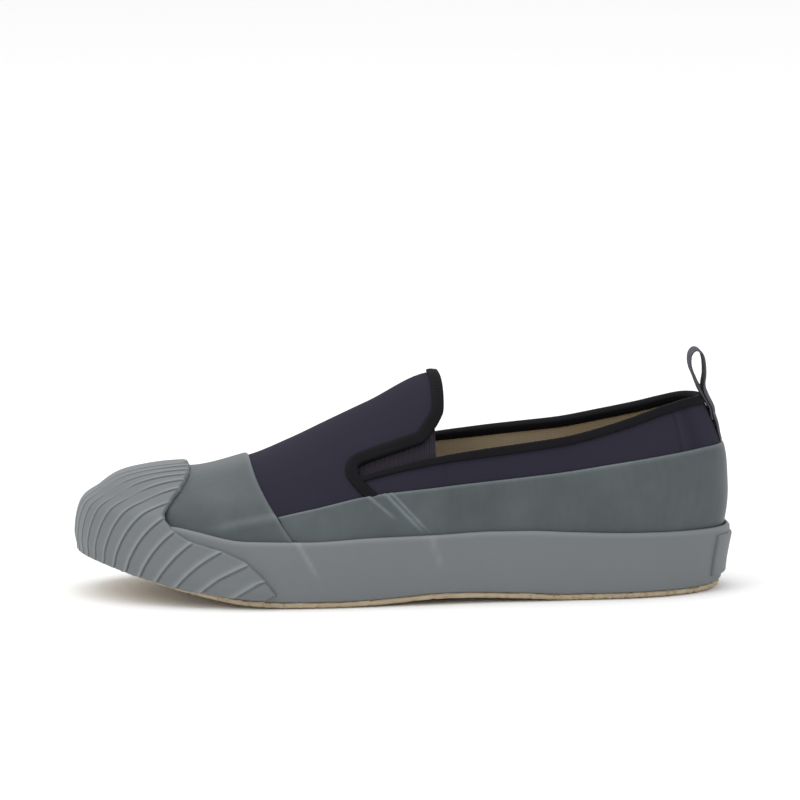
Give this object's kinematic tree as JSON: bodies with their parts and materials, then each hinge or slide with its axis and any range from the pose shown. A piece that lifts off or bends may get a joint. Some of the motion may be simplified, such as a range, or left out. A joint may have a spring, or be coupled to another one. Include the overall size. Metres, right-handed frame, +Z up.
{
  "type": "slip-on sneaker",
  "caption": "Left low slip-on shoe with a ribbed rubber toe cap and band, coated panels, cloth vamp with gored side slits, taped collar and a heel pull loop.",
  "frame": {"origin": "middle of the bounding box's bottom, on the floor under the shoe", "axes": "+X from toe to heel along the shoe's length, -Y to the outer side of the foot, +Z up"},
  "size_m": [0.2912, 0.1102, 0.106],
  "materials": {
    "gum_rubber": "matte gum rubber",
    "band_rubber": "matte moulded rubber",
    "navy_cloth": "close-woven cloth",
    "panel_coating": "satin coated",
    "gore_elastic": "ribbed elastic",
    "black_tape": "grosgrain tape",
    "grey_webbing": "herringbone webbing",
    "canvas": "plain canvas"
  },
  "bodies": {
    "root": {"outsole": "gum_rubber", "foxing_band": "band_rubber", "toe_cap": "band_rubber", "heel_tab": "band_rubber", "upper": "navy_cloth", "vamp_panel": "panel_coating", "side_panel": "panel_coating", "gore_lateral": "gore_elastic", "gore_medial": "gore_elastic", "vamp_binding": "black_tape", "collar_binding": "black_tape", "pull_loop": "grey_webbing", "insole": "canvas"}
  },
  "joints": []
}
